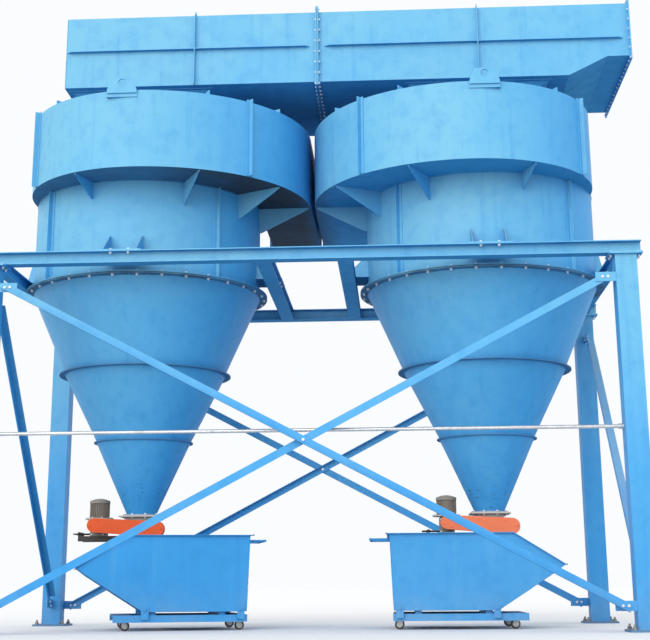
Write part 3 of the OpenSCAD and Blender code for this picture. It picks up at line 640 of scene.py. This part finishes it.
def caster_finish():
    finish = plated("caster_steel", (0.55, 0.55, 0.54), (0.34, 0.34, 0.33), 0.34)
    left, right = wheel_masks(finish, "left"), wheel_masks(finish, "right")
    wheel = (left[0] + right[0]).clamped()
    hub = (left[1] + right[1]).clamped()
    dusty = finish.ramp(finish.noise(30.0, 4.0, 0.6), 0.4, 0.8) * 0.6
    tread = finish.blend(dusty, (0.035, 0.034, 0.034), (0.20, 0.19, 0.17))
    tread = finish.blend(hub, tread, (0.52, 0.52, 0.50))
    tone = finish.blend(wheel, finish.fed("Base Color"), tread)
    rough = finish.fed("Roughness") + wheel * 0.25
    finish.feed(Base_Color=tone, Roughness=rough, Metallic=0.85 - wheel * 0.85)
    return finish


CASTER = caster_finish()
print("caster finish:", CASTER.material.name)

# %% [markdown]
# ## Which solid gets which finish
# The record that comes with the solids names a material for each of them. One table turns
# those names into the finishes made above, so that no solid is named here by hand.

# %% Give every solid its finish
FINISH = {
    "blue_paint": SKY,
    "orange_paint": ORANGE,
    "grey_paint": GREY,
    "valve_paint": VALVE,
    "dark_steel": OILY,
    "galvanised_steel": ZINC,
    "caster_steel": CASTER,
    "gasket": GASKET,
}
for part in frame["record"]["subparts"]:
    solid = nodes[part["node"]]
    solid.data.materials.clear()
    solid.data.materials.append(FINISH[part["material_slot"]].material)
print("dressed", len(nodes), "solids")

# %% [markdown]
# ## Making new pieces
# Each new piece is one mesh built with bmesh operators, already in its place, so that its
# object stays at the origin and the paint patterns run on from the solid beneath it.

# %% Helpers for pieces
def finish_piece(name, bm, finish, smooth=None):
    bmesh.ops.recalc_face_normals(bm, faces=bm.faces)
    mesh = bpy.data.meshes.new(name)
    bm.to_mesh(mesh)
    bm.free()
    mesh.materials.append(finish.material)
    piece = bpy.data.objects.new(name, mesh)
    bpy.context.scene.collection.objects.link(piece)
    if smooth is not None:
        mesh.shade_smooth()
        mesh.set_sharp_from_angle(angle=math.radians(smooth))
    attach(piece, "root")
    mesh.calc_loop_triangles()
    print(name, len(mesh.loop_triangles), "triangles")
    return piece


def along(place, direction, spin=0.0):
    """A matrix that puts local +Z along a direction at a place."""
    turn = Vector(direction).to_track_quat("Z", "Y").to_matrix().to_4x4()
    return Matrix.Translation(place) @ turn @ Matrix.Rotation(spin, 4, "Z")


def prism(bm, where, radius, height, sides, top=None):
    """A prism that stands on local z = 0; with a top radius it tapers."""
    made = bmesh.ops.create_cone(
        bm, cap_ends=True, segments=sides, depth=height,
        radius1=radius, radius2=radius if top is None else top,
        matrix=where @ Matrix.Translation((0, 0, height / 2)),
    )
    return made["verts"]


def block(bm, where, size):
    made = bmesh.ops.create_cube(bm, size=1.0)
    bmesh.ops.transform(bm, matrix=where @ Matrix.Diagonal((*size, 1)), verts=made["verts"])
    return made["verts"]


print("helpers: finish_piece, along, prism, block")

# %% [markdown]
# ## Bolts
# Every bolted joint here uses hexagon bolts: washer, head with its chamfer, and on the
# far side a nut with the end of the thread standing out. Each is turned by a random
# amount, as a spanner leaves it.

# %% A hexagon bolt
spanner = random.Random(7)
M12, M14, M16 = 0.012, 0.014, 0.016


def hexagon(bm, where, across, height):
    """A head or nut with its washer, standing on local z = 0."""
    washer_thick = across * 0.12
    prism(bm, where, across * 0.64, washer_thick, 14)
    turn = Matrix.Rotation(spanner.random() * math.pi, 4, "Z")
    seat = where @ Matrix.Translation((0, 0, washer_thick)) @ turn
    corner = across / 2 / math.cos(math.pi / 6)
    prism(bm, seat, corner, height * 0.86, 6)
    prism(bm, seat @ Matrix.Translation((0, 0, height * 0.86)), corner, height * 0.14, 6, top=corner * 0.86)


def bolt(bm, place, direction, size, grip=None):
    """Head at place, pointing along direction; with a grip, the nut is on the far side."""
    direction = Vector(direction).normalized()
    hexagon(bm, along(place, direction), size * 1.5, size * 0.64)
    if grip is not None:
        far = Vector(place) - direction * grip
        hexagon(bm, along(far, -direction), size * 1.5, size * 0.8)
        prism(bm, along(far, -direction), size * 0.46, size * 1.35, 8)


print("a 16 mm bolt's head is", round(M16 * 1.5 * 1000), "mm across")

# %% [markdown]
# ## Bolts round the cones
# A barrel and its cone meet in a bolted flange with a black gasket, about thirty bolts to
# a circle. Where the flange runs under the end beam there is no room for a bolt. The
# cone's outlet and the neck of the header's hood have smaller circles of the same kind.

# %% Bolt the cones, necks and outlets
bm = bmesh.new()
joint_circle = barrel_radius + 0.046
outlet_circle, outlet_flange = 0.170, 0.012
neck_circle, neck_flanges = 0.505, 0.020
beam_room = 0.03
end_beam_inner = {"left": low("end_beams").x + 0.100, "right": high("end_beams").x - 0.100}


def ring_of(centre, radius, count):
    """Places round an upright axis, half a step off +X."""
    for step in range(count):
        angle = math.tau * (step + 0.5) / count
        yield centre.x + radius * math.cos(angle), centre.y + radius * math.sin(angle)


for side, sign in SIDES.items():
    centre = axis[side]
    for x, y in ring_of(centre, joint_circle, 32):
        if sign * (x - end_beam_inner[side]) <= -beam_room:
            bolt(bm, (x, y, joint_top), (0, 0, 1), M16, joint_top - joint_low)
    for x, y in ring_of(centre, outlet_circle, 8):
        bolt(bm, (x, y, outlet_low + outlet_flange), (0, 0, 1), M14, 0.0245)
    for x, y in ring_of(centre, neck_circle, 20):
        bolt(bm, (x, y, roof + neck_flanges), (0, 0, 1), M14)
finish_piece("cone_joint_bolts", bm, BOLT)

# %% [markdown]
# ## Bolts on the header
# The header's two sections meet in a frame of flat bar, bolted all the way round, and the
# same frame closes its open end. Bolts run every 110 mm.

# %% Bolt the header
def frame_points(half_y, z0, z1, pitch):
    """Points round an upright rectangle, as (y, z)."""
    points = []
    across = round(2 * half_y / pitch)
    for step in range(across + 1):
        y = -half_y + 2 * half_y * step / across
        points += [(y, z0), (y, z1)]
    up = round((z1 - z0) / pitch)
    for step in range(1, up):
        z = z0 + (z1 - z0) * step / up
        points += [(-half_y, z), (half_y, z)]
    return points


bm = bmesh.new()
header_flange = 0.012
flange_middle = 0.025
header_pitch = 0.112
header_rise = 0.197
left_end = high("header_left_section")
right_start, right_end = low("header_right_section"), high("header_right_section")
centre_y = middle("header_left_section").y
half = (right_end.y - right_start.y) / 2 - flange_middle
bottom = low("header_left_section").z + flange_middle
raised = bottom + header_rise
upper = left_end.z - flange_middle
joint_face, end_face = left_end.x - header_flange, right_end.x - header_flange
joint_grip = right_start.x + header_flange - joint_face
for y, z in frame_points(half, bottom, upper, header_pitch):
    bolt(bm, (joint_face, centre_y + y, z), (-1, 0, 0), M14, joint_grip)
for y, z in frame_points(half, raised, upper, header_pitch):
    bolt(bm, (end_face, centre_y + y, z), (-1, 0, 0), M14)
finish_piece("header_bolts", bm, BOLT)

# %% [markdown]
# ## Bolts in the frame
# The beams are bolted to the columns' cap plates, the feet of the barrels to the beams,
# the bracing to its corner plates, and the columns to the ground with anchor bolts.

# %% Bolt the frame
bm = bmesh.new()
anchors = bmesh.new()
beam_flange = 0.009
foot_plate = 0.020
foot_thick = 0.012
foot_top = beam_top + foot_thick
foot_grip = foot_thick + beam_flange
middle_beam_off = 0.388
for x in column_x:
    for y in column_y:
        for dx in (-0.128, 0.128):
            for dy in (-0.045, 0.045):
                spot = (x + dx, y + dy, beam_low + beam_flange)
                bolt(bm, spot, (0, 0, 1), M16, beam_flange + foot_plate)
        for dx in (-0.140, 0.140):
            for dy in (-0.140, 0.140):
                seat = along((x + dx, y + dy, foot_plate), (0, 0, 1))
                hexagon(anchors, seat, 0.036, 0.019)
                prism(anchors, seat, 0.0118, 0.046, 12, top=0.0100)
for side, sign in SIDES.items():
    centre = axis[side]
    end_beam_x = column_x[0 if sign < 0 else 1]
    for dx in (-0.085, 0.085):
        for y in column_y:
            for dy in (-0.040, 0.040):
                bolt(bm, (centre.x + dx, y + dy, foot_top), (0, 0, 1), M16, foot_grip)
        for x, spread in ((end_beam_x, 0.030), (middle_x + sign * middle_beam_off, 0.040)):
            for dy in (-spread, spread):
                bolt(bm, (x + dy, centre.y + dx, foot_top), (0, 0, 1), M16, foot_grip)
finish_piece("frame_bolts", bm, BOLT)
finish_piece("anchor_nuts", anchors, ANCHOR)

# %% [markdown]
# ## Bolts of the bracing
# The angles are bolted to plates at the columns, two bolts at each end. Of two crossing
# angles one lies in front of the plates and one behind, so their bolt heads stand at
# different depths, and one bolt holds both where they cross.

# %% Bolt the bracing
bm = bmesh.new()
half_tube = 0.100
brace_low, brace_high = 0.220, 3.150
brace_thick = 0.0073
corner_plate = 0.010
brace_reach = 2.80
for sign, y in zip((-1, 1), column_y):
    face = y + sign * half_tube
    front_face = face + sign * brace_thick
    out = (0, sign, 0)
    for end in (-1, 1):
        falling, rising = (brace_high, brace_low) if end < 0 else (brace_low, brace_high)
        for reach in (-0.025, 0.025):
            x = middle_x + end * brace_reach + reach
            bolt(bm, (x, front_face, falling), out, M14, corner_plate + brace_thick)
            bolt(bm, (x, face, rising), out, M14, corner_plate + brace_thick)
    crossing = (middle_x, front_face, (brace_low + brace_high) / 2)
    bolt(bm, crossing, out, M16, corner_plate + 2 * brace_thick)
finish_piece("bracing_bolts", bm, BOLT)

# %% [markdown]
# ## Bolts of the end braces and the inlets
# Each end of the frame has one diagonal, bolted along its own slope. The inlets end in
# flanges that wait for their duct; their bolts run along the top and bottom bars and up
# the outer one, because the inner bars of the two inlets nearly touch.

# %% Bolt the end braces and the inlets
bm = bmesh.new()
end_plate = corner_plate / 2 + 0.007
side_low, side_high = 0.240, 3.090
span_y = column_y[1] - column_y[0]
for x, turn in zip(column_x, (-1, 1)):
    slope = Vector((0, span_y - 0.38, turn * (side_high - side_low))).normalized()
    for end in (-1, 1):
        y = (column_y[0] + column_y[1]) / 2 + end * (span_y / 2 - 0.19)
        spot = Vector((x + end_plate, y, side_high if end * turn > 0 else side_low))
        for reach in (-0.030, 0.030):
            bolt(bm, spot + slope * reach, (1, 0, 0), M16, 0.017)
for side, sign in SIDES.items():
    duct = side + "_inlet_duct"
    face_y = high(duct).y - 0.010
    inner_edge = high(duct).x if sign < 0 else low(duct).x
    outer_row = low(duct).x + flange_middle if sign < 0 else high(duct).x - flange_middle
    z0, z1 = low(duct).z + flange_middle, high(duct).z - flange_middle
    count = round((abs(inner_edge - outer_row) - 0.016) / 0.110)
    for step in range(count + 1):
        x = outer_row + (inner_edge - outer_row) * step / (count + 0.35)
        for z in (z0, z1):
            bolt(bm, (x, face_y, z), (0, -1, 0), M12)
    for step in range(1, 8):
        bolt(bm, (outer_row, face_y, z0 + (z1 - z0) * step / 8), (0, -1, 0), M12)
finish_piece("brace_and_inlet_bolts", bm, BOLT)

# %% [markdown]
# ## Screws of the drive
# The chain guard is held by small screws with washers, painted over with it, the motor
# flange by a ring of screws, the gearbox by four screws on each side, and the bin hangs in
# its trolley on four pivot bolts, which are painted with the bin.

# %% Screw the drives and the bins together
bm = bmesh.new()
covers = bmesh.new()
pivots = bmesh.new()
drive_gap = 0.430
motor_circle, motor_flange_top = 0.123, 1.083
gearbox_half = 0.085
pivot_out, pivot_height = 0.6103, 0.195
guard_screws = (
    (-0.470, 0.990), (-0.385, 1.045), (-0.385, 0.957), (-0.12, 1.035),
    (-0.12, 0.932), (0.13, 1.015), (0.150, 0.908), (0.250, 0.962),
)
for side in SIDES:
    centre = axis[side]
    front = low("chain_guards").y
    for dx, z in guard_screws:
        hexagon(covers, along((centre.x + dx, front, z), (0, -1, 0)), 0.013, 0.007)
    shaft = Vector((centre.x - drive_gap, centre.y, 0))
    for x, y in ring_of(shaft, motor_circle, 8):
        hexagon(bm, along((x, y, motor_flange_top), (0, 0, 1)), 0.014, 0.009)
    for dx in (-0.060, 0.060):
        for z in (0.920, 1.040):
            for out in (-1, 1):
                spot = (shaft.x + dx, shaft.y + out * gearbox_half, z)
                hexagon(bm, along(spot, (0, out, 0)), 0.013, 0.008)
for side in SIDES:
    for x in (0.180, 1.095):
        for out in (-1, 1):
            spot = on_bin(side) @ Vector((x, out * pivot_out, pivot_height))
            outward = on_bin(side).to_3x3() @ Vector((0, out, 0))
            hexagon(pivots, along(spot, outward), 0.026, 0.012)
finish_piece("drive_screws", bm, BOLT)
finish_piece("guard_screws", covers, ORANGE)
finish_piece("bin_pivots", pivots, SKY)

# %% [markdown]
# ## Weld beads
# Plates are welded, and a weld is a rope of metal with a ripple where the welder stopped
# and went on. A ring is a small circle spun round the axis; a straight run is a long thin
# prism cut into short lengths. Afterwards each cross-section is swollen or pinched a
# little, and the paint runs over it as over everything else.

# %% Bead helpers
welder = random.Random(19)
ripple_pitch = 0.022
plate_bead, beam_bead, seam_bead, sheet_bead, rib_bead = 0.006, 0.005, 0.0045, 0.004, 0.0035


def ripple(verts, centres):
    """Swell each cross-section about its own centre."""
    for vert in verts:
        centre, swell = centres(vert.co)
        vert.co = centre + (vert.co - centre) * swell


def add_bead(target, small):
    mesh = bpy.data.meshes.new("bead")
    small.to_mesh(mesh)
    small.free()
    target.from_mesh(mesh)
    bpy.data.meshes.remove(mesh)


def bead_line(target, start, end, size):
    start, end = Vector(start), Vector(end)
    length = (end - start).length
    cuts = max(1, round(length / ripple_pitch))
    small = bmesh.new()
    bmesh.ops.create_cone(small, cap_ends=True, segments=6, radius1=size, radius2=size, depth=length)
    long_edges = [e for e in small.edges if abs(e.verts[0].co.z - e.verts[1].co.z) > length / 2]
    bmesh.ops.subdivide_edges(small, edges=long_edges, cuts=cuts, use_grid_fill=True)
    swells = [welder.uniform(0.72, 1.18) for _ in range(cuts + 3)]

    def section(place):
        step = round((place.z / length + 0.5) * (cuts + 1))
        return Vector((0, 0, place.z)), swells[step] * (0.5 if step in (0, cuts + 1) else 1)

    ripple(small.verts, section)
    where = along((start + end) / 2, end - start, welder.random())
    bmesh.ops.transform(small, matrix=where, verts=small.verts)
    add_bead(target, small)


def bead_ring(target, centre, radius, size):
    """A weld run all the way round an upright axis."""
    steps = max(6, round(radius * math.tau / ripple_pitch))
    small = bmesh.new()
    mid = Matrix.Translation((radius, 0, 0)) @ Matrix.Rotation(math.pi / 2, 4, "X")
    bmesh.ops.create_circle(small, cap_ends=False, segments=6, radius=size, matrix=mid)
    bmesh.ops.spin(small, geom=small.verts[:] + small.edges[:], cent=(0, 0, 0), axis=(0, 0, 1),
                   angle=math.tau, steps=steps, use_merge=True, use_duplicate=False)
    swells = [welder.uniform(0.72, 1.18) for _ in range(steps + 2)]

    def section(place):
        turn = math.atan2(place.y, place.x) % math.tau
        step = round(turn / math.tau * steps) % steps
        flat = Vector((place.x, place.y, 0)).normalized() * radius
        return flat, swells[step]

    ripple(small.verts, section)
    bmesh.ops.transform(small, matrix=Matrix.Translation(centre), verts=small.verts)
    add_bead(target, small)


def stitches(target, start, end, size, length=0.055, pitch=0.30):
    """Short welds with gaps between, as on ribs that only stiffen a sheet."""
    start, end = Vector(start), Vector(end)
    ahead = (end - start).normalized()
    count = max(1, round((end - start).length / pitch))
    for step in range(count):
        at = start + (end - start) * ((step + 0.5) / count)
        bead_line(target, at - ahead * length / 2, at + ahead * length / 2, size)


print("one ripple every", round(ripple_pitch * 1000), "mm")

# %% [markdown]
# ## Welds on the shells
# Each shell is rolled from flat plate. It has a ring weld where it meets a flange or the
# next shell, and one upright seam where the rolled plate closes. The seams are set to the
# back of the machine, because none is to be seen from the front.

# %% Weld the barrels and cones
bm = bmesh.new()
outlet_radius = 0.147
for side, sign in SIDES.items():
    centre = axis[side]
    upper_z, upper_radius = cone_top(side, "middle")
    lower_z, lower_radius = cone_top(side, "lower")
    barrel_low = joint_top + joint_flange
    outlet = low(side + "_lower_cone").z + outlet_flange
    turned = [
        (barrel_radius, floor_of_scroll, plate_bead), (barrel_radius, barrel_low, plate_bead),
        (barrel_radius, joint_low, beam_bead),
        (upper_radius, upper_z, plate_bead), (upper_radius, upper_z - ring_thick, plate_bead),
        (lower_radius, lower_z, plate_bead), (lower_radius, lower_z - ring_thick, plate_bead),
        (outlet_radius, outlet, plate_bead),
    ]
    for radius, z, size in turned:
        bead_ring(bm, (centre.x, centre.y, z), radius, size)
    seams = [
        (20, barrel_radius, barrel_low, barrel_radius, floor_of_scroll),
        (62, upper_radius, upper_z, barrel_radius, joint_low),
        (75, lower_radius, lower_z, upper_radius, upper_z - ring_thick),
        (95, outlet_radius, outlet, lower_radius, lower_z - ring_thick),
    ]
    for turn, r0, z0, r1, z1 in seams:
        angle = math.radians(90 + sign * turn)
        out = Vector((math.cos(angle), math.sin(angle), 0))
        low_end = Vector((centre.x, centre.y, z0)) + out * r0
        high_end = Vector((centre.x, centre.y, z1)) + out * r1
        bead_line(bm, low_end, high_end, seam_bead)
finish_piece("cone_welds", bm, SKY, smooth=60)

# %% [markdown]
# ## Welds on the frame
# A column is welded to its base and cap plates along all four sides, the corner plates to
# the columns along their short edges, and the feet of the barrels have two gussets each,
# welded to the shell and to the foot on both faces.

# %% Weld the frame
bm = bmesh.new()
plate_half = 0.041
gusset_x, gusset_face = 0.160, 0.004
gusset_high, gusset_reach = 0.210, 0.110
for x in column_x:
    for y in column_y:
        for z, size in ((foot_plate, plate_bead), (beam_low - foot_plate, beam_bead)):
            corners = [(x - half_tube, y - half_tube), (x + half_tube, y - half_tube),
                       (x + half_tube, y + half_tube), (x - half_tube, y + half_tube)]
            for (x0, y0), (x1, y1) in zip(corners, corners[1:] + corners[:1]):
                bead_line(bm, (x0, y0, z), (x1, y1, z), size)
for sign, column in zip((-1, 1), column_y):
    y = column + sign * half_tube
    for end, x in zip((-1, 1), column_x):
        edge = x - end * half_tube
        for z in (brace_low, brace_high):
            bead_line(bm, (edge, y, z - plate_half), (edge, y, z + plate_half), seam_bead)
for centre in axis.values():
    for turn in range(4):
        facing = Matrix.Translation(centre) @ Matrix.Rotation(turn * math.pi / 2, 4, "Z")
        for dx in (-gusset_x, gusset_x):
            shell_y = -math.sqrt(barrel_radius ** 2 - dx ** 2)
            for face in (-gusset_face, gusset_face):
                low_end = facing @ Vector((dx + face, shell_y - 0.001, 0))
                low_end.z = foot_top + 0.004
                high_end = low_end.copy()
                high_end.z = foot_top + gusset_high
                bead_line(bm, low_end, high_end, rib_bead)
                outer_end = facing @ Vector((dx + face, shell_y - gusset_reach, 0))
                outer_end.z = low_end.z = foot_top
                bead_line(bm, low_end, outer_end, rib_bead)
finish_piece("frame_welds", bm, SKY, smooth=60)

# %% [markdown]
# ## Welds on the header
# The header is a box of thin sheet. A flat rib runs along each side, held by short
# stitches because a long weld would buckle the sheet, and a full weld runs round each of
# its ends and flanges.

# %% Weld the header
bm = bmesh.new()
flange_out = 0.050
rib_thick = 0.008
header_low = low("header_left_section")
header_y = [header_low.y + flange_out, left_end.y - flange_out]
rib_z = (header_low.z + left_end.z) / 2
rib_runs = [(header_low.x + 0.080, left_end.x - 0.150), (right_start.x + 0.150, right_end.x - 0.150)]
for y in header_y:
    for x0, x1 in rib_runs:
        for z in (rib_z, rib_z + rib_thick):
            stitches(bm, (x0, y, z), (x1, y, z), rib_bead)
roof_z = upper - flange_middle
right_face = right_start.x + header_flange
for x, row in ((header_low.x, bottom), (joint_face, bottom), (right_face, bottom), (end_face, raised)):
    under = row + flange_middle
    for y in header_y:
        bead_line(bm, (x, y, under), (x, y, roof_z), sheet_bead)
    for z in (under, roof_z):
        bead_line(bm, (x, header_y[0], z), (x, header_y[1], z), sheet_bead)
finish_piece("header_welds", bm, SKY, smooth=60)

# %% [markdown]
# ## Welds and plugs on the bins
# A bin is folded from sheet and welded along its outer corners, and its lips are stitched
# on below. The open ends of the lips are closed with small black plastic plugs, so that
# nobody cuts a hand. All of it is placed in the bin's own directions, because one bin
# stands turned on the floor.

# %% Weld and plug the bins
BIN_SIDE = [(1.180, 0.882), (1.150, 0.177), (0.165, 0.177), (-0.420, 0.545)]
LIP_RUNS = [((0.02, 0.8835), (1.16, 0.8835)), ((-0.46, 0.5995), (-0.02, 0.8715))]
LIP_ENDS = [(-0.4885, 0.5880, -math.atan2(0.300, 0.485)), (1.2135, 0.8870, 0.0)]
bin_half, lip_weld, lip_middle = 0.600, 0.6009, 0.615
plug = (0.010, 0.034, 0.012)
bm = bmesh.new()
plugs = bmesh.new()
for side in SIDES:
    where = on_bin(side)
    for out in (-1, 1):
        corners = [where @ Vector((x, out * bin_half, z)) for x, z in BIN_SIDE]
        for start, end in zip(corners, corners[1:]):
            bead_line(bm, start, end, sheet_bead)
        for run in LIP_RUNS:
            start, end = (where @ Vector((x, out * lip_weld, z)) for x, z in run)
            stitches(bm, start, end, rib_bead)
        for x, z, tilt in LIP_ENDS:
            seat = Matrix.Translation((x, out * lip_middle, z)) @ Matrix.Rotation(tilt, 4, "Y")
            block(plugs, where @ seat, plug)
finish_piece("bin_welds", bm, SKY, smooth=60)
finish_piece("lip_plugs", plugs, GASKET)

# %% [markdown]
# ## The floor
# A plain pale floor stands in for a studio. It looks paler to the camera, and in mirrored
# and refracted rays, than it is to the machine, so that the undersides stay as deep in
# tone as they are outdoors, and it still takes the machine's shadow.

# %% Floor
bm = bmesh.new()
bmesh.ops.create_grid(bm, x_segments=1, y_segments=1, size=300)
mesh = bpy.data.meshes.new("floor")
bm.to_mesh(mesh)
bm.free()
floor = bpy.data.objects.new("floor", mesh)
bpy.context.scene.collection.objects.link(floor)
ground = Finish("pale_floor", Roughness=0.95, Specular_IOR_Level=0.05)
speckle = ground.noise(9.0, 4.0, 0.6)
seen = ground.node("ShaderNodeLightPath", out="Is Camera Ray")
for kind in ("Is Glossy Ray", "Is Transmission Ray"):
    seen = seen + ground.node("ShaderNodeLightPath", out=kind)
dim = ground.blend(speckle, (0.56, 0.56, 0.56), (0.52, 0.52, 0.52))
pale = ground.blend(speckle, (0.80, 0.80, 0.80), (0.76, 0.76, 0.76))
ground.feed(Base_Color=ground.blend(seen.clamped(), dim, pale))
mesh.materials.append(ground.material)
print("floor laid, stage only")

# %% [markdown]
# ## World and lamps
# The light is soft from all sides, with a very soft sun low at the front left, as the
# daylight falls in the photograph, and a weak one from the right. Suns are used because
# they light a machine six metres wide evenly.

# %% World and lamps
lamp_height = 12
def pale_world(seen, given):
    world = bpy.data.worlds.new("studio")
    bpy.context.scene.world = world
    world.use_nodes = True
    tree = world.node_tree
    shade = tree.nodes["Background"]
    ray = tree.nodes.new("ShaderNodeLightPath")
    watched = Term(tree, ray.outputs["Is Camera Ray"])
    for kind in ("Is Glossy Ray", "Is Transmission Ray"):
        watched = watched + Term(tree, ray.outputs[kind])
    strength = given + watched.clamped() * (seen - given)
    shade.inputs["Color"].default_value = (0.96, 0.98, 1.0, 1)
    tree.links.new(strength.socket, shade.inputs["Strength"])
    return world


def soft_sun(name, direction, strength, spread, colour):
    """A sun that shines along a direction."""
    data = bpy.data.lights.new(name, "SUN")
    data.energy, data.angle, data.color = strength, math.radians(spread), colour
    thing = bpy.data.objects.new(name, data)
    bpy.context.scene.collection.objects.link(thing)
    thing.matrix_world = along((0, 0, lamp_height), -Vector(direction))
    return thing


pale_world(seen=1.0, given=1.04)
soft_sun("key", (0.42, 0.88, -0.36), 1.92, 56, (1.0, 0.985, 0.96))
soft_sun("fill", (-0.80, 0.58, -0.25), 0.52, 70, (0.93, 0.96, 1.0))
print("lamps set")
